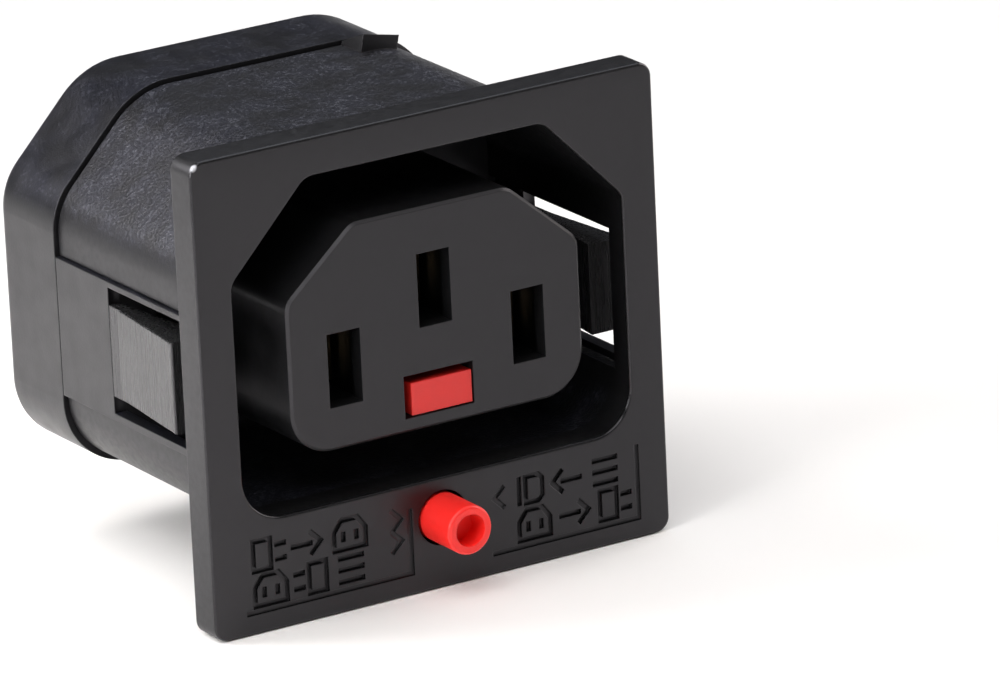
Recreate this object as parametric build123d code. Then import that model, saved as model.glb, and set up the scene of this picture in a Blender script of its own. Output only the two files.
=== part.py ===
from build123d import *
import math
import os

# Snap-in panel outlet for a three-pin mains plug, with a latch that grips the plug and a red button.
# X points right seen from the front, Y points into the body, and Z points up, towards the earth slot.
# The origin is the middle of the core's front face, halfway between the line and neutral slots.
# Lengths are in millimetres and angles in degrees.

# Flange, with its borders measured from the recess
flange_front = 0.3
flange_side_border = 2.65
flange_top_border = 2.6
flange_bottom_border = 7.58
flange_thickness = 2.45
flange_corner_r = 1.0
flange_edge_r = 0.2

# Core
core_half_width = 11.15
core_top = 9.6
core_bottom = -5.4
core_top_half = 5.95
core_shoulder = 5.1
core_length = 17.0
core_rounds = (1.5, 1.5, 3.0)
core_edge = 0.2

# Recess round the core
recess_half_width = 14.85
recess_top = 13.2
recess_bottom = -9.07
recess_top_half = 9.0
recess_shoulder = 7.15
recess_rounds = (1.5, 1.2, 3.0)
recess_edge_r = 0.2

# Shells, of which the cap stands a little proud of the housing
wall = 1.6
housing_step = 0.3
body_rounds = (6.0, 4.5, 5.0)
housing_lap = 1.93
seam_gap = 0.15
cap_depth = 7.25
rear_wall = 1.6
rear_edge_r = 0.8
rebate = 0.65
fit_gap = 0.1
lip_wall = 0.6

# Base plate at the back of the core
base_thickness = 1.6

# Slots and contacts
slot_width = 2.5
slot_height = 5.0
slot_wall = 1.2
pole_half_spacing = 7.0
earth_height = 4.0
cavity_width = 3.7
cavity_height = 5.6
strip = 0.4
contact_height = 4.4
contact_mouth = 4.2
contact_mouth_half = 1.3
contact_pinch = 6.0
contact_pinch_half = 1.0
contact_root = 15.0
contact_root_half = 1.45
shoulder_height = 7.8
shoulder_length = 1.0
tab_width = 6.3
tab_reach = 8.0
tab_point = 1.2
tab_hole_r = 0.8
tab_hole_inset = 3.0
tower_wall = 1.0

# Release slider
button_height = -11.85
button_r = 1.675
button_reach = 3.4
button_edge_r = 0.25
button_bore_r = 1.1
button_bore_depth = 1.7
button_gap = 0.2
slide_gap = 0.1
slide_travel = 2.0
channel_wall = 0.6
web_thickness = 1.6
window_half_width = 2.65
window_top = -1.55
window_bottom = -4.45
block_gap = 0.35
block_sag = 0.25
block_recess = 0.1

# Return spring
spring_height = -6.9
spring_r = 1.9
spring_wire_r = 0.2
spring_turns = 4.0
peg_r = 1.3
web_peg_length = 0.9
cover_peg_length = 1.4

# Lock plate
plate_thickness = 0.8
plate_half_width = 2.8
plate_pivot_depth = 12.5
plate_pivot_height = 8.1
plate_pivot_gap = 0.05
plate_side_gap = 0.15
plate_swing_gap = 0.3
plate_eye_gap = 0.45
plate_foot = 0.9
notch_gap = 0.35

# Side arms of the rear cover
arm_inset = 0.7
arm_top = 4.5
arm_bottom = -5.25
arm_gap = 0.1
arm_pocket = 0.6
side_window_front = 2.6
side_window_top = 4.0
side_window_bottom = -4.65
seat_depth = 13.9
mould_line = 0.06

# Panel latches
latch_top = 2.8
latch_bottom = -3.45
latch_rise = 0.85
latch_nose = 1.0
latch_front = 4.3
latch_seat_r = 1.15
latch_gap = 0.06
latch_tip_flat = 0.25
latch_edge_r = 0.12

# Wedge catch on the top right corner
catch_length = 2.5
catch_rise = 1.0
catch_width = 2.8
catch_place = 7.5
catch_tilt = 12.0

# Lines engraved on the flange
line_width = 0.34
line_depth = 0.18
left_frame = (-15.1, -15.15, -2.5, -10.7)
right_frame = (3.7, -15.25, 15.1, -10.15)
chevron_reach = 0.75
left_chevrons = ((-3.2, -11.3), (-3.2, -12.75))
right_chevron = (4.0, -11.5)

# How far a cut runs past the solid, or a joined solid into the other
overlap = 1.0

slope = math.atan2(recess_top - recess_shoulder, recess_half_width - recess_top_half)
flange_half_width = recess_half_width + flange_side_border
flange_top = recess_top + flange_top_border
flange_bottom = recess_bottom - flange_bottom_border
flange_back = flange_front + flange_thickness
button_front = flange_front - button_reach
base_rear = core_length + base_thickness
seam_depth = base_rear + housing_lap
seam_rear = seam_depth + seam_gap
body_depth = seam_rear + cap_depth
cavity_rear = body_depth - rear_wall
web_front = base_rear + slide_gap
web_rear = web_front + web_thickness
channel_r = button_r + button_gap + channel_wall
tongue_left = -window_half_width + block_gap + block_sag
tongue_right = window_half_width - block_gap + block_sag
tongue_top = window_top - block_gap - block_sag
tongue_bottom = window_bottom + block_gap - block_sag
plate_arm = plate_pivot_height - tongue_top + plate_foot / 2
housing_wall = wall - housing_step
arm_inner = recess_half_width + arm_inset
arm_outer = recess_half_width + wall
arm_middle = (arm_inner + arm_outer) / 2
seat_centre = seat_depth - latch_seat_r
pole_places = {
    "line": (-pole_half_spacing, 0.0),
    "neutral": (pole_half_spacing, 0.0),
    "earth": (0.0, earth_height),
}


def slab(section, front, rear):
    """A solid whose section is drawn in X and Z, from one depth to another."""
    return extrude(Plane.XZ.offset(-front) * section, amount=front - rear)


def block(x_low, x_high, y_low, y_high, z_low, z_high):
    """A box given by its limits."""
    size = (x_high - x_low, y_high - y_low, z_high - z_low)
    middle = ((x_low + x_high) / 2, (y_low + y_high) / 2, (z_low + z_high) / 2)
    return Location(middle) * Box(*size)


def rod(radius, front, rear, x, z):
    """A cylinder along Y."""
    return slab(Location((x, z)) * Circle(radius), front, rear)


def six_sided(half_width, top, bottom, top_half, shoulder, rounds):
    """An outline with two sloping top corners, and rounds at the top, the shoulders and the bottom."""
    top_r, shoulder_r, bottom_r = rounds
    right = [(half_width, bottom), (half_width, shoulder), (top_half, top)]
    left = [(-x, z) for x, z in reversed(right)]
    radii = [bottom_r, shoulder_r, top_r, top_r, shoulder_r, bottom_r]
    return make_face(FilletPolyline(*right, *left, radius=radii, close=True))


def recess_outline(grow, rounds=None):
    """The recess's outline, moved outward by the same distance all round."""
    if rounds is None:
        rounds = [r + grow for r in recess_rounds]
    return six_sided(
        recess_half_width + grow,
        recess_top + grow,
        recess_bottom - grow,
        recess_top_half + grow * math.tan(slope / 2),
        recess_shoulder + grow * math.tan(math.pi / 4 - slope / 2),
        rounds,
    )


def core_outline():
    """The core's outline, which the plug's shroud slides over."""
    return six_sided(
        core_half_width, core_top, core_bottom, core_top_half, core_shoulder, core_rounds
    )


def channel(radius, front, rear):
    """A round-bottomed prism round the button's axis that reaches up into the body."""
    up = recess_bottom + overlap - button_height
    round_part = Location((0, button_height)) * Circle(radius)
    upright = Location((0, button_height + up / 2)) * Rectangle(2 * radius, up)
    return slab(round_part + upright, front, rear)


def frame_lines(frame):
    """The two engraved lines of an L-shaped frame, with its upright on the right."""
    x_low, z_low, x_high, z_high = frame
    half = line_width / 2
    floor = flange_front + line_depth
    level = block(x_low, x_high + half, -overlap, floor, z_low - half, z_low + half)
    upright = block(x_high - half, x_high + half, -overlap, floor, z_low, z_high)
    return [level, upright]


def chevron(x, z, direction):
    """An engraved arrowhead whose tip is at x and z."""
    back = x - direction * chevron_reach
    tip = Polyline((back, z + chevron_reach), (x, z), (back, z - chevron_reach))
    return slab(trace(tip, line_width), -overlap, flange_front + line_depth)


def flange():
    """The front plate, with rounded corners and a softened front edge."""
    height = flange_top - flange_bottom
    plate = Location((0, (flange_top + flange_bottom) / 2)) * RectangleRounded(
        2 * flange_half_width, height, flange_corner_r
    )
    solid = slab(plate, flange_front, flange_back)
    return fillet(solid.faces().sort_by(Axis.Y)[0].edges(), flange_edge_r)


def corner_catch():
    """The wedge that rises towards the front beside the top right corner, and leans with that corner."""
    top = recess_top + housing_wall
    side = Polyline(
        (seam_depth, -housing_wall / 2),
        (seam_depth, 0),
        (seam_depth - catch_length, catch_rise),
        (seam_depth - catch_length, -housing_wall / 2),
        close=True,
    )
    wedge = extrude(Plane.YZ * make_face(side), amount=catch_width / 2, both=True)
    return Location((catch_place, 0, top)) * Rot(0, catch_tilt, 0) * wedge


def front_housing():
    """The flange, the shroud round the recess and the button's channel, in one moulding."""
    solid = flange()
    solid += slab(recess_outline(housing_wall, body_rounds), flange_back - overlap, seam_depth)
    solid += channel(channel_r, flange_back - overlap, seam_depth)
    solid += corner_catch()
    solid -= slab(recess_outline(0), -overlap, seam_depth + overlap)
    recess_rim = solid.faces().sort_by(Axis.Y)[0].inner_wires()[0]
    solid = fillet(recess_rim.edges(), recess_edge_r)
    solid -= slab(recess_outline(rebate), core_length, seam_depth + overlap)
    solid -= rod(button_r + button_gap, -overlap, seam_depth + overlap, 0, button_height)
    solid -= channel(button_r + button_gap, base_rear, seam_depth + overlap)
    for side in (-1, 1):
        near, far = sorted((side * (recess_half_width - overlap), side * (arm_outer + arm_gap)))
        solid -= block(
            near, far, flange_back - arm_pocket, seam_depth + overlap, arm_bottom, arm_top
        )
    for line in frame_lines(left_frame) + frame_lines(right_frame):
        solid -= line
    for x, z in left_chevrons:
        solid -= chevron(x, z, 1)
    solid -= chevron(*right_chevron, -1)
    return solid


def side_arm():
    """The right-hand arm, with its window and the rounded seat behind the latch."""
    solid = block(
        arm_inner,
        arm_outer,
        flange_back - arm_pocket + arm_gap,
        seam_rear + wall,
        arm_bottom + arm_gap,
        arm_top - arm_gap,
    )
    height = side_window_top - side_window_bottom
    plan = Plane.XY.offset(side_window_bottom)
    front_part = Location((arm_middle, (side_window_front + seat_centre) / 2)) * Rectangle(
        2 * wall, seat_centre - side_window_front
    )
    seat = Location((arm_middle, seat_centre)) * Circle(latch_seat_r)
    solid -= extrude(plan * (front_part + seat), amount=height)
    seam_middle = (seam_depth + seam_rear) / 2
    solid -= block(
        arm_outer - mould_line,
        arm_outer + overlap,
        seam_middle - mould_line,
        seam_middle + mould_line,
        arm_bottom - overlap,
        arm_top + overlap,
    )
    return solid


def tab_tower(x, z, rear):
    """The solid boss round a tab, behind the contact's shoulder."""
    front = web_front + shoulder_length + slide_gap
    width = strip * 2 + 2 * (slide_gap + tower_wall)
    height = tab_width + 2 * (slide_gap + tower_wall)
    return slab(Location((x, z)) * Rectangle(width, height), front, rear)


def tab_slot(x, z):
    """The slot that a tab leaves through."""
    size = (strip * 2 + 2 * slide_gap, tab_width + 2 * slide_gap)
    return slab(Location((x, z)) * Rectangle(*size), base_rear, body_depth + overlap)


def rear_cover():
    """The cap that closes the back, with its lip, its two side arms and the tab towers."""
    cap = slab(recess_outline(wall, body_rounds), seam_rear, body_depth)
    cap += channel(channel_r, seam_rear, body_depth)
    rear_edges = cap.faces().sort_by(Axis.Y)[-1].edges()
    cap = fillet(rear_edges, rear_edge_r)
    inside = rebate - fit_gap - lip_wall
    cap += slab(recess_outline(rebate - fit_gap), base_rear + fit_gap, seam_rear + wall)
    cap -= slab(recess_outline(inside), base_rear - overlap, cavity_rear)
    stop = web_rear + slide_travel + slide_gap
    cap -= channel(button_r + button_gap, base_rear - overlap, stop)
    cap += rod(peg_r, cavity_rear - cover_peg_length, body_depth - overlap, 0, spring_height)
    for x, z in pole_places.values():
        cap += tab_tower(x, z, body_depth - overlap)
    for x, z in pole_places.values():
        cap -= tab_slot(x, z)
    arm = side_arm()
    return cap + arm + mirror(arm, Plane.YZ)


def plate_slot():
    """The wedge-shaped space in which the lock plate cants, open through the core's underside."""
    half = plate_thickness / 2 + plate_pivot_gap
    low = core_bottom - overlap
    swing = slide_travel * (plate_pivot_height - low) / plate_arm
    outline = Polyline(
        (plate_pivot_depth - half, plate_pivot_height),
        (plate_pivot_depth + half, plate_pivot_height),
        (plate_pivot_depth + half + plate_swing_gap, low),
        (plate_pivot_depth - half - plate_swing_gap - swing, low),
        close=True,
    )
    side = make_face(outline) + Location((plate_pivot_depth, plate_pivot_height)) * Circle(half)
    half_width = plate_half_width + plate_side_gap
    return extrude(Plane.YZ.offset(-half_width) * side, amount=2 * half_width)


def socket_core():
    """The core and its base plate, with the three slots, the contact cavities and the window."""
    solid = slab(core_outline(), 0, core_length)
    solid = chamfer(solid.faces().sort_by(Axis.Y)[0].edges(), core_edge)
    base = slab(recess_outline(rebate - fit_gap), core_length, base_rear)
    for side in (-1, 1):
        near, far = sorted((side * (arm_inner - fit_gap), side * arm_outer))
        base -= block(
            near, far, core_length - overlap, base_rear + overlap,
            arm_bottom - fit_gap, arm_top + fit_gap,
        )
    solid += base
    for x, z in pole_places.values():
        place = Location((x, z))
        solid -= slab(place * Rectangle(slot_width, slot_height), -overlap, core_length)
        cavity = place * Rectangle(cavity_width, cavity_height)
        solid -= slab(cavity, slot_wall, base_rear + overlap)
    middle = (window_top + window_bottom) / 2
    window = Location((0, middle)) * Rectangle(2 * window_half_width, window_top - window_bottom)
    solid -= slab(window, -overlap, base_rear + overlap)
    return solid - plate_slot()


def contact(x, z):
    """A folded spring contact: two sprung arms in front, a shoulder, and a doubled blade tab behind."""
    arms = []
    for side in (-1, 1):
        path = Polyline(
            (side * contact_mouth_half, contact_mouth),
            (side * contact_pinch_half, contact_pinch),
            (side * contact_root_half, contact_root),
            (side * strip / 2, base_rear - strip),
            (side * strip / 2, web_rear),
        )
        arms.append(trace(path, strip))
    level = Plane.XY.offset(-contact_height / 2)
    fork = extrude(level * (arms[0] + arms[1]), amount=contact_height)
    half = shoulder_height / 2
    shoulder = block(-strip, strip, web_front, web_front + shoulder_length, -half, half)
    tip = body_depth + tab_reach
    half = tab_width / 2
    blade = Polyline(
        (web_front, -half),
        (tip - tab_point, -half),
        (tip, -half + tab_point),
        (tip, half - tab_point),
        (tip - tab_point, half),
        (web_front, half),
        close=True,
    )
    blade_face = make_face(blade) - Location((tip - tab_hole_inset, 0)) * Circle(tab_hole_r)
    tab = extrude(Plane.YZ.offset(-strip) * blade_face, amount=2 * strip)
    return Location((x, 0, z)) * (fork + shoulder + tab)


def release_slider():
    """The red button, the web behind the base plate and the tongue that shows in the window."""
    solid = rod(button_r, button_front, web_rear, 0, button_height)
    solid = fillet(solid.faces().sort_by(Axis.Y)[0].edges(), button_edge_r)
    bore_end = button_front + button_bore_depth
    solid -= rod(button_bore_r, button_front - overlap, bore_end, 0, button_height)
    solid += block(-button_r, button_r, web_front, web_rear, button_height, tongue_top)
    solid += block(tongue_left, tongue_right, block_recess, web_rear, tongue_bottom, tongue_top)
    solid += rod(peg_r, web_front, web_rear + web_peg_length, 0, spring_height)
    foot_depth = plate_pivot_depth - slide_travel
    half = plate_thickness / 2 + notch_gap
    solid -= block(
        tongue_left - overlap, tongue_right + overlap, foot_depth - half, foot_depth + half,
        tongue_top - plate_foot - notch_gap, tongue_top + overlap,
    )
    return solid


def lock_plate():
    """The canting plate, leaning forward as it does while it grips the plug's earth pin."""
    height = plate_pivot_height - tongue_top + plate_foot
    plate = block(
        -plate_half_width, plate_half_width, -plate_thickness / 2, plate_thickness / 2, -height, 0
    )
    plate += Rot(0, 90, 0) * Cylinder(plate_thickness / 2, 2 * plate_half_width)
    eye_width = 2 * contact_root_half + strip + 2 * plate_eye_gap
    eye_height = contact_height + 2 * plate_eye_gap
    eye_middle = earth_height - plate_pivot_height
    plate -= block(
        -eye_width / 2, eye_width / 2, -plate_thickness, plate_thickness,
        eye_middle - eye_height / 2, eye_middle + eye_height / 2,
    )
    neck = window_half_width - block_gap
    for side in (-1, 1):
        near, far = sorted((side * neck, side * (plate_half_width + overlap)))
        plate -= block(
            near, far, -plate_thickness, plate_thickness,
            -height - overlap, window_top - plate_pivot_height,
        )
    cant = -math.degrees(math.asin(slide_travel / plate_arm))
    return Location((0, plate_pivot_depth, plate_pivot_height)) * Rot(cant, 0, 0) * plate


def return_spring():
    """The coil spring between the slider's web and the cover's rear wall, in six-sided wire."""
    length = cavity_rear - web_rear - 2 * spring_wire_r
    pitch = length / spring_turns
    coil = Helix(pitch=pitch, height=length, radius=spring_r)
    section = RegularPolygon(spring_wire_r, 6)
    wire = sweep(Plane(origin=coil @ 0, z_dir=coil % 0) * section, path=coil)
    start = web_rear + spring_wire_r
    return Location((0, start, spring_height)) * Rot(-90, 0, 0) * wire


def panel_latch():
    """The right-hand wedge latch, which turns about its rounded rear edge."""
    crest = arm_outer + latch_rise
    wedge = Polyline(
        (arm_inner - latch_nose, latch_front),
        (crest, latch_front),
        (crest, latch_front + latch_tip_flat),
        (arm_outer, seat_centre),
        (arm_inner, seat_centre),
        close=True,
    )
    reach = latch_seat_r
    tail = Location((arm_middle, seat_centre + reach / 2)) * Rectangle(arm_outer - arm_inner, reach)
    heel = Location((arm_middle, seat_centre)) * Circle(latch_seat_r - latch_gap)
    section = make_face(wedge) + (tail & heel)
    solid = extrude(Plane.XY.offset(latch_bottom) * section, amount=latch_top - latch_bottom)
    crests = solid.edges().filter_by_position(Axis.X, arm_outer + latch_rise / 2, crest)
    return fillet(crests, latch_edge_r)


latch = panel_latch()
pieces = {
    "front_housing": front_housing(),
    "rear_cover": rear_cover(),
    "socket_core": socket_core(),
    "release_slider": release_slider(),
    "return_spring": return_spring(),
    "lock_plate": lock_plate(),
    "panel_latch_right": latch,
    "panel_latch_left": mirror(latch, Plane.YZ),
}
for pole, (x, z) in pole_places.items():
    pieces[pole + "_contact"] = contact(x, z)

os.makedirs("parts", exist_ok=True)
for name, piece in pieces.items():
    export_step(piece, f"parts/{name}.step")
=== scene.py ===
import math

import bmesh
import bpy
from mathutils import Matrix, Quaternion, Vector


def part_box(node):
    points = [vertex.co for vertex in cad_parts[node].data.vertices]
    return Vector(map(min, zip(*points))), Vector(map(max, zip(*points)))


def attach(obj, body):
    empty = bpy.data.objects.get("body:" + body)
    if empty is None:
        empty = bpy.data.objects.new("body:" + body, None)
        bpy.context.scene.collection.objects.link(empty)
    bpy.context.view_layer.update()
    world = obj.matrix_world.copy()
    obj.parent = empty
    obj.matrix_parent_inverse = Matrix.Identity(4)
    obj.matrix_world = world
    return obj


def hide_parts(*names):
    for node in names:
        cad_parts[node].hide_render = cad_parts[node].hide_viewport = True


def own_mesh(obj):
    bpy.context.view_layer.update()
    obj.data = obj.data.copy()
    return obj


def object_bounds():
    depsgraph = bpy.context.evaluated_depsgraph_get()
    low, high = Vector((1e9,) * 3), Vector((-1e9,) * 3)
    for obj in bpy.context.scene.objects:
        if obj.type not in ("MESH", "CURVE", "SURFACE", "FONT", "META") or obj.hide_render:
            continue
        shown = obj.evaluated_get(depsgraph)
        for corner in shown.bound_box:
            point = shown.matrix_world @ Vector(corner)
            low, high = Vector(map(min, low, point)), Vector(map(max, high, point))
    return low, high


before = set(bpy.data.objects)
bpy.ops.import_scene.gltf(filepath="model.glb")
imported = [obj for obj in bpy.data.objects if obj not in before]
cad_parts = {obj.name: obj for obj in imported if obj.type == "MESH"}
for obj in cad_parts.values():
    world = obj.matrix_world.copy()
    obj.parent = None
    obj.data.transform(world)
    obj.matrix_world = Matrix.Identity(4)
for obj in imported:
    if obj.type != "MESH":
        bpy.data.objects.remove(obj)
cad_box = [list(corner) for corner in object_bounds()]

# Lengths are in millimetres where they are named, and are turned into metres by this factor
MM = 0.001

# Camera, placed where the photograph was taken from
CAMERA_PLACE = (-315.9, -525.8, 202.4)
CAMERA_AIM = (4.80, 0.0, -0.58)
CAMERA_ROLL = -2.70
CAMERA_LENS = 358.7
SENSOR_WIDTH = 36.0
CAMERA_REACH = 20.0

# Floor, in metres, and the distances from the part, in millimetres, between which it fades
FLOOR_SIZE = 0.4
FLOOR_GAP = 0.00005
FLOOR_FADE = (80.0, 180.0)
FLOOR_COLOUR = (0.84, 0.82, 0.805)

# Surround above and below the horizon, and how far below it the one turns into the other
SURROUND_ABOVE = (0.009, 0.0095, 0.011)
SURROUND_BELOW = (1.0, 1.0, 1.0)
HORIZON_BLEND = 0.01

# Lights, in metres and watts; the last three are small and fill the shadow at the left
WARM = (1.0, 0.955, 0.93)
COOL = (0.86, 0.92, 1.0)
LIGHTS = {
    "top": {"place": (0.0, 0.0, 1.1), "size": (1.6, 1.6), "power": 4.2},
    "right": {"place": (0.9, 0.0, 0.42), "size": (0.8, 0.8), "power": 8.6, "colour": WARM},
    "front_left": {"place": (-0.37, -0.37, 0.87), "size": (0.8, 0.8), "power": 5.0},
    "glint": {"place": (-0.59, -0.26, 0.76), "size": (0.16, 0.16), "power": 0.6},
    "back_right": {"place": (0.35, 0.35, 0.87), "size": (0.8, 0.8), "power": 2.4, "colour": COOL},
    "floor_left": {
        "place": (-0.1, 0.1, 0.2), "size": (0.08, 0.08), "power": 0.13, "aim": (-0.05, 0.05, -0.016),
    },
    "floor_back": {
        "place": (-0.09, 0.06, 0.06), "size": (0.05, 0.05), "power": 0.1, "aim": (-0.03, 0.03, -0.016),
    },
    "floor_side": {
        "place": (-0.12, -0.02, 0.03), "size": (0.08, 0.05), "power": 0.1, "aim": (-0.025, 0.0, -0.016),
    },
}

# Colours that several surfaces share, among them a lighter, bluish black that is partly a rough skin
# and partly painted sheen on upward faces, and the tint of the shine on black plastic
BLACK = (0.0045, 0.0045, 0.0048)
SHEEN_AND_SKIN_BLACK = (0.0095, 0.01, 0.0145)
VIOLET = (0.97, 0.935, 1.0)

# The middle of a noise texture, and the upward part of a normal where a surface turns up
TEXTURE_MIDDLE = (0.3, 0.7)
TURNING_UP = (0.2, 0.5)

# Where a grain ends, as a share of its size, how smoothly grains join, and the soft edge of specks
GRAIN_REACH = 0.8
GRAIN_SMOOTHNESS = 0.5
SPECK_EDGE = 0.02

# Rays that find the edges near a point
BEVEL_SAMPLES = 4

# Depth of the core, inside which the contacts are painted dark as painted shade
CORE_REAR = 17.0

# The button lies between these heights, where its red is painted brighter as painted light, and the
# tongue above them
BUTTON_TOP = -9.0
BUTTON_BOTTOM = -15.0

# Flange, from its face to its back, and the corner of it where a glint is painted on as a pale spot of
# painted highlight
FLANGE_FRONT = 0.3
FLANGE_RIM = 0.2
FLANGE_BACK = 2.75
BODY_REAR = 40.0
GLINT_CORNER = (-17.25, 0.35, 15.55)
GLINT_RADIUS = 0.35

# Signs cut into the flange, and the sharpest mitre that their lines may have
MARK_WIDTH = 0.36
MARK_DEPTH = 0.3
MARK_OVERSHOOT = 0.5
MARK_SIZE = 2.0
MITRE_LIMIT = 0.3

# Each sign is a list of closed or open lines, drawn for a height of 1 round its own middle
SIGNS = {
    "plug": [
        (True, [(-0.5, -0.5), (0.15, -0.5), (0.15, 0.5), (-0.5, 0.5)]),
        (False, [(0.3, 0.25), (0.75, 0.25)]),
        (False, [(0.3, -0.25), (0.75, -0.25)]),
    ],
    "outlet": [
        (True, [(-0.6, -0.5), (0.6, -0.5), (0.6, 0.1), (0.3, 0.5), (-0.3, 0.5), (-0.6, 0.1)]),
        (False, [(-0.25, -0.25), (-0.25, 0.1)]),
        (False, [(0.25, -0.25), (0.25, 0.1)]),
    ],
    "arrow": [
        (False, [(-0.6, 0), (0.25, 0)]),
        (False, [(0.15, 0.4), (0.55, 0), (0.15, -0.4)]),
    ],
    "button": [
        (True, [(-0.15, -0.45), (0.35, -0.45), (0.5, -0.3), (0.5, 0.3), (0.35, 0.45), (-0.15, 0.45)]),
        (False, [(-0.4, -0.5), (-0.4, 0.5)]),
    ],
    "bars": [
        (False, [(-0.5, 0.4), (0.5, 0.4)]),
        (False, [(-0.5, 0), (0.5, 0)]),
        (False, [(-0.5, -0.4), (0.5, -0.4)]),
    ],
}

# Rows of signs: height of the row, then the name, X and facing of each sign in it
SIGN_ROWS = [
    (-11.35, [("plug", -13.4, 1), ("arrow", -10.4, 1), ("outlet", -7.1, 1)]),
    (-13.75, [("outlet", -13.2, 1), ("plug", -10.0, -1), ("bars", -7.1, 1)]),
    (-11.4, [("button", 6.7, 1), ("arrow", 9.6, -1), ("bars", 12.6, 1)]),
    (-13.8, [("outlet", 7.0, 1), ("arrow", 10.1, 1), ("plug", 13.1, 1)]),
]

# Return spring, which is centred on the part's width
SPRING_Z = -6.9
SPRING_RADIUS = 1.9
SPRING_WIRE = 0.2
SPRING_TURNS = 4.0
SPRING_STEPS_A_TURN = 24
WIRE_RESOLUTION = 4

# Edges sharper than these angles, in degrees, stay sharp in the shading
MOULDING_EDGE = 25
WIRE_EDGE = 50

# Decimals of a metre within which the corners of two triangles are one
WELD_DIGITS = 8


def add_camera():
    """A long lens aimed at the core's face, turned a little about its own axis."""
    data = bpy.data.cameras.new("camera")
    data.lens = CAMERA_LENS
    data.sensor_width = SENSOR_WIDTH
    data.clip_end = CAMERA_REACH
    camera = bpy.data.objects.new("camera", data)
    bpy.context.scene.collection.objects.link(camera)
    place = Vector(CAMERA_PLACE) * MM
    look = Vector(CAMERA_AIM) * MM - place
    roll = Quaternion((0, 0, 1), math.radians(CAMERA_ROLL))
    camera.location = place
    camera.rotation_mode = "QUATERNION"
    camera.rotation_quaternion = look.to_track_quat("-Z", "Y") @ roll
    bpy.context.scene.camera = camera


def add_area_light(name, place, size, power, aim=(0, 0, 0), colour=(1, 1, 1)):
    """A softbox that faces the object, or another point."""
    data = bpy.data.lights.new(name, "AREA")
    data.shape = "RECTANGLE"
    data.size = size[0]
    data.size_y = size[1]
    data.energy = power
    data.color = colour
    light = bpy.data.objects.new(name, data)
    light.location = Vector(place)
    light.rotation_mode = "QUATERNION"
    light.rotation_quaternion = (Vector(aim) - Vector(place)).to_track_quat("-Z", "Y")
    bpy.context.scene.collection.objects.link(light)


def add_world():
    """A dim surround above the horizon, and below it the floor's own paleness beyond its edges."""
    world = bpy.data.worlds.new("world")
    world.use_nodes = True
    nodes = world.node_tree.nodes
    links = world.node_tree.links
    direction = nodes.new("ShaderNodeTexCoord")
    split = nodes.new("ShaderNodeSeparateXYZ")
    above = nodes.new("ShaderNodeMapRange")
    above.inputs["From Min"].default_value = -HORIZON_BLEND
    above.inputs["From Max"].default_value = 0.0
    colour = nodes.new("ShaderNodeMix")
    colour.data_type = "RGBA"
    colour.inputs["A"].default_value = (*SURROUND_BELOW, 1)
    colour.inputs["B"].default_value = (*SURROUND_ABOVE, 1)
    links.new(direction.outputs["Generated"], split.inputs["Vector"])
    links.new(split.outputs["Z"], above.inputs["Value"])
    links.new(above.outputs["Result"], colour.inputs["Factor"])
    links.new(colour.outputs["Result"], nodes["Background"].inputs["Color"])
    bpy.context.scene.world = world


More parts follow.
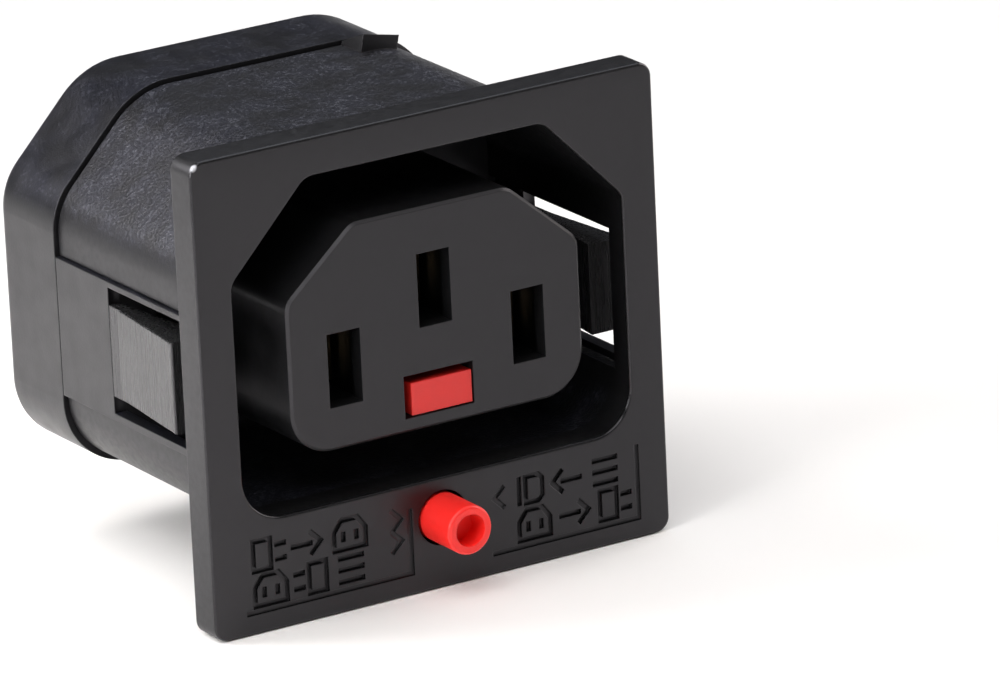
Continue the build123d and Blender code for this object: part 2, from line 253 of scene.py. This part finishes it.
class Surface:
    """A principled material whose textures are measured in millimetres of the part."""

    def __init__(self, name, colour, roughness, metallic=0.0, tint=(1, 1, 1)):
        self.material = bpy.data.materials.new(name)
        self.material.use_nodes = True
        self.nodes = self.material.node_tree.nodes
        self.links = self.material.node_tree.links
        self.shader = self.nodes["Principled BSDF"]
        self.shader.inputs["Base Color"].default_value = (*colour, 1)
        self.shader.inputs["Roughness"].default_value = roughness
        self.shader.inputs["Metallic"].default_value = metallic
        self.shader.inputs["Specular Tint"].default_value = (*tint, 1)
        self.normal = None

    def node(self, kind, **settings):
        """A new node of this kind with these settings."""
        node = self.nodes.new(kind)
        for key, value in settings.items():
            setattr(node, key, value)
        return node

    def place(self, stretch=(1, 1, 1)):
        """The point on the part, in millimetres, stretched along the axes."""
        source = self.node("ShaderNodeTexCoord")
        scale = self.node("ShaderNodeMapping")
        scale.inputs["Scale"].default_value = [s / MM for s in stretch]
        self.links.new(source.outputs["Object"], scale.inputs["Vector"])
        return scale.outputs["Vector"]

    def noise(self, size, detail=2.0, stretch=(1, 1, 1)):
        """Noise between 0 and 1, with features of about this size in millimetres."""
        noise = self.node("ShaderNodeTexNoise")
        noise.inputs["Scale"].default_value = 1 / size
        noise.inputs["Detail"].default_value = detail
        self.links.new(self.place(stretch), noise.inputs["Vector"])
        return noise.outputs["Fac"]

    def grains(self, size):
        """Rounded grains of about this size in millimetres: 1 at their tops and 0 between them."""
        cells = self.node("ShaderNodeTexVoronoi", feature="SMOOTH_F1")
        cells.inputs["Scale"].default_value = 1 / size
        cells.inputs["Smoothness"].default_value = GRAIN_SMOOTHNESS
        self.links.new(self.place(), cells.inputs["Vector"])
        return self.ramp(cells.outputs["Distance"], 0.0, GRAIN_REACH, 1.0, 0.0)

    def specks(self, size, share):
        """1 in this share of grains of about this size in millimetres, and 0 in the rest."""
        cells = self.node("ShaderNodeTexVoronoi")
        cells.inputs["Scale"].default_value = 1 / size
        self.links.new(self.place(), cells.inputs["Vector"])
        split = self.node("ShaderNodeSeparateColor")
        self.links.new(cells.outputs["Color"], split.inputs["Color"])
        return self.ramp(split.outputs["Red"], 1 - SPECK_EDGE - share, 1 - share)

    def ramp(self, value, low, high, to_low=0.0, to_high=1.0):
        """Maps a value's range from low to high onto another range, clamped."""
        ramp = self.node("ShaderNodeMapRange")
        ramp.inputs["From Min"].default_value = low
        ramp.inputs["From Max"].default_value = high
        ramp.inputs["To Min"].default_value = to_low
        ramp.inputs["To Max"].default_value = to_high
        self.links.new(value, ramp.inputs["Value"])
        return ramp.outputs["Result"]

    def product(self, first, second):
        """Two values multiplied."""
        times = self.node("ShaderNodeMath", operation="MULTIPLY")
        self.links.new(first, times.inputs[0])
        self.links.new(second, times.inputs[1])
        return times.outputs["Value"]

    def soften_edges(self, radius):
        """Light rolls over each edge as over a small moulded round."""
        bevel = self.node("ShaderNodeBevel", samples=BEVEL_SAMPLES)
        bevel.inputs["Radius"].default_value = radius * MM
        self.normal = bevel.outputs["Normal"]
        self.links.new(self.normal, self.shader.inputs["Normal"])

    def bump(self, height, depth, amount=1.0):
        """Raises the surface by a height between 0 and 1, times a depth in millimetres."""
        bump = self.node("ShaderNodeBump")
        bump.inputs["Distance"].default_value = depth * MM
        if isinstance(amount, float):
            bump.inputs["Strength"].default_value = amount
        else:
            self.links.new(amount, bump.inputs["Strength"])
        self.links.new(height, bump.inputs["Height"])
        if self.normal is not None:
            self.links.new(self.normal, bump.inputs["Normal"])
        self.normal = bump.outputs["Normal"]
        self.links.new(self.normal, self.shader.inputs["Normal"])

    def roughen(self, value, low, high, polished=None):
        """Lets the roughness follow a texture, and halves it where the surface is polished."""
        roughness = self.ramp(value, *TEXTURE_MIDDLE, low, high)
        if polished is not None:
            roughness = self.product(roughness, self.ramp(polished, 0.0, 1.0, 1.0, 0.5))
        self.links.new(roughness, self.shader.inputs["Roughness"])

    def tint(self, amount, colour):
        """Blends the base colour towards another one."""
        mix = self.node("ShaderNodeMix", data_type="RGBA")
        source = self.shader.inputs["Base Color"]
        if source.is_linked:
            self.links.new(source.links[0].from_socket, mix.inputs["A"])
        else:
            mix.inputs["A"].default_value = source.default_value
        mix.inputs["B"].default_value = (*colour, 1)
        self.links.new(amount, mix.inputs["Factor"])
        self.links.new(mix.outputs["Result"], source)

    def facing(self, axis, low, high):
        """0 to 1 as the surface's normal goes from low to high along an axis."""
        geometry = self.node("ShaderNodeNewGeometry")
        split = self.node("ShaderNodeSeparateXYZ")
        self.links.new(geometry.outputs["Normal"], split.inputs["Vector"])
        return self.ramp(split.outputs[axis], low, high)

    def facing_up(self):
        """1 where the surface faces up or slopes up, and 0 on upright walls."""
        return self.facing("Z", *TURNING_UP)

    def near(self, point, radius):
        """1 at a point of the part, in millimetres, fading to 0 at this distance from it."""
        away = self.node("ShaderNodeVectorMath", operation="DISTANCE")
        self.links.new(self.place(), away.inputs[0])
        away.inputs[1].default_value = point
        return self.ramp(away.outputs["Value"], radius / 2, radius, 1.0, 0.0)

    def between(self, axis, start, end, blend=0.1):
        """1 between two places along an axis, in millimetres, and 0 beyond them."""
        split = self.node("ShaderNodeSeparateXYZ")
        self.links.new(self.place(), split.inputs["Vector"])
        rising = self.ramp(split.outputs[axis], start, start + blend)
        falling = self.ramp(split.outputs[axis], end, end + blend, 1.0, 0.0)
        return self.product(rising, falling)


def housing_plastic():
    """Black plastic: a fine grain on the flange, and a spark-eroded skin on the shroud's top whose
    lighter, bluish tone on upward faces is partly painted sheen, with a painted highlight on one
    corner.
    """
    surface = Surface("housing_plastic", BLACK, 0.42, tint=VIOLET)
    surface.soften_edges(0.12)
    shroud = surface.product(surface.between("Y", FLANGE_BACK, BODY_REAR), surface.facing_up())
    surface.bump(surface.noise(0.12, 3.0), 0.012, 0.35)
    surface.bump(surface.noise(0.12, 5.0), 0.03, shroud)
    surface.bump(surface.grains(0.24), 0.022, shroud)
    patches = surface.ramp(surface.noise(2.6, 3.0), 0.38, 0.62, 0.1, 1.0)
    sheen_and_skin = surface.product(shroud, patches)
    # Painted sheen: the shroud's upward faces are tinted a lighter, bluish black, partly for the rough
    # skin and partly for the light from above
    surface.tint(sheen_and_skin, SHEEN_AND_SKIN_BLACK)
    surface.tint(surface.product(sheen_and_skin, surface.specks(0.2, 0.22)), (0.036, 0.037, 0.045))
    # Painted highlight: a pale grey spot on the flange's top-left corner stands in for a glint of light
    surface.tint(surface.near(GLINT_CORNER, GLINT_RADIUS), (0.5, 0.5, 0.53))
    front_rim = surface.between("Y", FLANGE_FRONT - FLANGE_RIM, FLANGE_FRONT + FLANGE_RIM, 0.02)
    rim = surface.product(front_rim, surface.facing("Y", -0.98, -0.8))
    surface.roughen(surface.noise(0.5, 3.0), 0.36, 0.46, polished=rim)
    return surface.material


def cover_plastic():
    """Black plastic with a satin skin, a little patchy on top, where upward faces are painted lighter
    and bluish as painted sheen.
    """
    surface = Surface("cover_plastic", (0.005, 0.005, 0.0053), 0.36, tint=VIOLET)
    surface.soften_edges(0.12)
    upper = surface.facing_up()
    surface.bump(surface.noise(0.15, 3.0), 0.012, 0.5)
    surface.bump(surface.noise(0.12, 4.0), 0.02, upper)
    patches = surface.ramp(surface.noise(3.2, 3.0), 0.35, 0.65, 0.15, 1.0)
    sheen_and_skin = surface.product(upper, patches)
    # Painted sheen: upward faces are tinted a lighter, bluish black, partly for the skin and partly for
    # the light from above
    surface.tint(sheen_and_skin, SHEEN_AND_SKIN_BLACK)
    surface.tint(surface.product(sheen_and_skin, surface.specks(0.17, 0.12)), (0.03, 0.031, 0.039))
    surface.roughen(surface.noise(1.8, 3.0), 0.3, 0.4)
    return surface.material


def core_plastic():
    """Smooth matte black plastic."""
    surface = Surface("core_plastic", BLACK, 0.42, tint=VIOLET)
    surface.soften_edges(0.08)
    surface.bump(surface.noise(0.1, 2.0), 0.008, 0.4)
    surface.roughen(surface.noise(0.9, 3.0), 0.36, 0.46)
    return surface.material


def latch_plastic():
    """Black plastic with fine upright lines left by the mould."""
    surface = Surface("latch_plastic", (0.014, 0.014, 0.0145), 0.28, tint=VIOLET)
    surface.soften_edges(0.06)
    lines = surface.noise(0.16, 2.0, (1, 1, 0.04))
    surface.bump(lines, 0.02, 0.6)
    surface.roughen(lines, 0.22, 0.34)
    return surface.material


def red_plastic():
    """Bright red plastic that lets a little light in."""
    surface = Surface("red_plastic", (0.66, 0.02, 0.016), 0.38)
    surface.soften_edges(0.08)
    surface.shader.inputs["Subsurface Weight"].default_value = 0.25
    surface.shader.inputs["Subsurface Radius"].default_value = (1.0, 0.25, 0.15)
    surface.shader.inputs["Subsurface Scale"].default_value = 0.5 * MM
    # Painted light: the button's red is painted brighter than the tongue's, which sits in shade in its
    # window
    surface.tint(surface.between("Z", BUTTON_BOTTOM, BUTTON_TOP), (0.93, 0.024, 0.019))
    surface.bump(surface.noise(0.2, 3.0), 0.01, 0.4)
    surface.roughen(surface.noise(0.6, 2.0), 0.32, 0.46)
    return surface.material


def contact_brass():
    """Rolled brass strip, painted dark inside the body as painted shade, and plain on the tabs."""
    surface = Surface("contact_brass", (0.72, 0.53, 0.26), 0.32, metallic=1.0)
    surface.soften_edges(0.04)
    lines = surface.noise(0.3, 3.0, (1, 0.08, 1))
    surface.bump(lines, 0.002, 0.4)
    surface.roughen(lines, 0.28, 0.38)
    surface.tint(surface.ramp(surface.noise(2.2, 4.0), 0.4, 0.8, 0.0, 0.5), (0.55, 0.36, 0.17))
    # Painted shade: the contacts inside the core are darkened to the black of the slots
    surface.tint(surface.between("Y", 0.0, CORE_REAR), (0.22, 0.16, 0.09))
    return surface.material


def spring_steel():
    """Plain drawn steel."""
    surface = Surface("spring_steel", (0.56, 0.56, 0.58), 0.32, metallic=1.0)
    surface.bump(surface.noise(0.1, 3.0), 0.004, 0.5)
    surface.roughen(surface.noise(0.5, 3.0), 0.26, 0.42)
    return surface.material


def floor_paper():
    """White paper with a faint tooth, which fades into the surround away from the part."""
    surface = Surface("floor_paper", FLOOR_COLOUR, 0.9)
    surface.bump(surface.noise(0.6, 3.0), 0.01, 0.3)
    distance = surface.node("ShaderNodeVectorMath", operation="LENGTH")
    surface.links.new(surface.place(), distance.inputs[0])
    fade = surface.ramp(distance.outputs["Value"], *FLOOR_FADE, 1.0, 0.0)
    surface.links.new(fade, surface.shader.inputs["Alpha"])
    return surface.material


def add_floor():
    """A pale floor just under the part."""
    half = FLOOR_SIZE / 2
    z = cad_box[0][2] - FLOOR_GAP
    mesh = bpy.data.meshes.new("floor")
    corners = [(-half, -half, z), (half, -half, z), (half, half, z), (-half, half, z)]
    mesh.from_pydata(corners, [], [(0, 1, 2, 3)])
    mesh.materials.append(floor_paper())
    floor = bpy.data.objects.new("floor", mesh)
    bpy.context.scene.collection.objects.link(floor)


def welded_copy(node, name):
    """A new mesh object with a CAD node's triangles, joined along their shared edges."""
    places = {}
    corners = []
    for vertex in node.data.vertices:
        key = tuple(round(c, WELD_DIGITS) for c in vertex.co)
        corners.append(places.setdefault(key, len(places)))
    faces = [[corners[i] for i in face.vertices] for face in node.data.polygons]
    faces = [face for face in faces if len(set(face)) == len(face)]
    mesh = bpy.data.meshes.new(name)
    mesh.from_pydata([Vector(key) for key in places], [], faces)
    piece = bpy.data.objects.new(name, mesh)
    bpy.context.scene.collection.objects.link(piece)
    return piece


def mitred_rails(points, closed):
    """The left and right side of a line of the marks' width, at each of its points."""
    count = len(points)
    rails = []
    for i, point in enumerate(points):
        before = points[i - 1] if closed or i > 0 else None
        after = points[(i + 1) % count] if closed or i < count - 1 else None
        into = (point - before).normalized() if before is not None else (after - point).normalized()
        out = (after - point).normalized() if after is not None else into
        along = (into + out).normalized()
        side = Vector((-along.y, along.x)) * (MARK_WIDTH / 2) / max(along.dot(into), MITRE_LIMIT)
        rails.append((point + side, point - side))
    return rails


def stroke(shape, points, closed=False):
    """Adds a straight-sided cutter that follows points in X and Z, with mitred corners."""
    front = (FLANGE_FRONT - MARK_OVERSHOOT) * MM
    back = (FLANGE_FRONT + MARK_DEPTH) * MM
    rings = []
    for left, right in mitred_rails([Vector(point) for point in points], closed):
        corners = ((left, front), (right, front), (right, back), (left, back))
        rings.append([shape.verts.new((p.x * MM, depth, p.y * MM)) for p, depth in corners])
    spans = len(rings) if closed else len(rings) - 1
    for i in range(spans):
        ring, following = rings[i], rings[(i + 1) % len(rings)]
        for k in range(4):
            j = (k + 1) % 4
            shape.faces.new((ring[k], ring[j], following[j], following[k]))
    if not closed:
        shape.faces.new(rings[0])
        shape.faces.new(rings[-1])


def sign(shape, name, x, z, facing):
    """One sign at its place, turned to face right or left."""
    for closed, points in SIGNS[name]:
        stroke(shape, [(x + facing * MARK_SIZE * u, z + MARK_SIZE * v) for u, v in points], closed)


def sign_cutter():
    """One object with the cutters of all the signs."""
    shape = bmesh.new()
    for z, row in SIGN_ROWS:
        for name, x, facing in row:
            sign(shape, name, x, z, facing)
    bmesh.ops.recalc_face_normals(shape, faces=shape.faces)
    mesh = bpy.data.meshes.new("sign_cutter")
    shape.to_mesh(mesh)
    shape.free()
    cutter = bpy.data.objects.new("sign_cutter", mesh)
    bpy.context.scene.collection.objects.link(cutter)
    return cutter


def evaluated_mesh(thing):
    """A new mesh of an object as it is with its modifiers, or of a curve."""
    bpy.context.view_layer.update()
    return bpy.data.meshes.new_from_object(thing.evaluated_get(bpy.context.evaluated_depsgraph_get()))


def smooth_by_angle(piece, angle):
    """Smooth shading that keeps edges sharper than an angle, in degrees."""
    mesh = piece.data
    mesh.polygons.foreach_set("use_smooth", [True] * len(mesh.polygons))
    mesh.set_sharp_from_angle(angle=math.radians(angle))
    mesh.update()


def add_marked_housing():
    """The front moulding with rows of plain signs cut into its face."""
    piece = welded_copy(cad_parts["front_housing"], "marked_housing")
    cutter = sign_cutter()
    cut = piece.modifiers.new("signs", "BOOLEAN")
    cut.operation = "DIFFERENCE"
    cut.solver = "EXACT"
    cut.object = cutter
    carved = evaluated_mesh(piece)
    piece.modifiers.clear()
    piece.data = carved
    bpy.data.objects.remove(cutter)
    smooth_by_angle(piece, MOULDING_EDGE)
    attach(piece, "housing")
    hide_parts("front_housing")
    return piece


def coil(start, end):
    """A round wire wound along Y from one place to another, both in metres."""
    steps = round(SPRING_TURNS * SPRING_STEPS_A_TURN)
    data = bpy.data.curves.new("spring_coil", "CURVE")
    data.dimensions = "3D"
    data.bevel_depth = SPRING_WIRE * MM
    data.bevel_resolution = WIRE_RESOLUTION
    data.use_fill_caps = True
    line = data.splines.new("POLY")
    line.points.add(steps)
    for i in range(steps + 1):
        turn = 2 * math.pi * i / SPRING_STEPS_A_TURN
        x = SPRING_RADIUS * math.cos(turn) * MM
        z = (SPRING_Z + SPRING_RADIUS * math.sin(turn)) * MM
        line.points[i].co = (x, start + (end - start) * i / steps, z, 1)
    wire = bpy.data.objects.new("spring_wire", data)
    bpy.context.scene.collection.objects.link(wire)
    return wire


def add_spring():
    """A round-wire coil in place of the plain one."""
    low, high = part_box("return_spring")
    wire = coil(low[1] + SPRING_WIRE * MM, high[1] - SPRING_WIRE * MM)
    mesh = evaluated_mesh(wire)
    bpy.data.objects.remove(wire)
    piece = bpy.data.objects.new("spring_coil", mesh)
    bpy.context.scene.collection.objects.link(piece)
    smooth_by_angle(piece, WIRE_EDGE)
    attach(piece, "housing")
    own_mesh(piece)
    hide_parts("return_spring")
    return piece


def dress(piece, material):
    """Gives a whole piece one material."""
    piece.data.materials.clear()
    piece.data.materials.append(material)


add_camera()
add_world()
add_floor()
for name, light in LIGHTS.items():
    add_area_light(name, **light)
bpy.context.scene.view_settings.view_transform = "Standard"

steel = spring_steel()
brass = contact_brass()
latch = latch_plastic()
dress(add_marked_housing(), housing_plastic())
dress(add_spring(), steel)
dress(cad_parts["rear_cover"], cover_plastic())
dress(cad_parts["socket_core"], core_plastic())
dress(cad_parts["release_slider"], red_plastic())
dress(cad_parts["lock_plate"], steel)
for side in ("left", "right"):
    dress(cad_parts["panel_latch_" + side], latch)
for pole in ("line", "neutral", "earth"):
    dress(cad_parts[pole + "_contact"], brass)
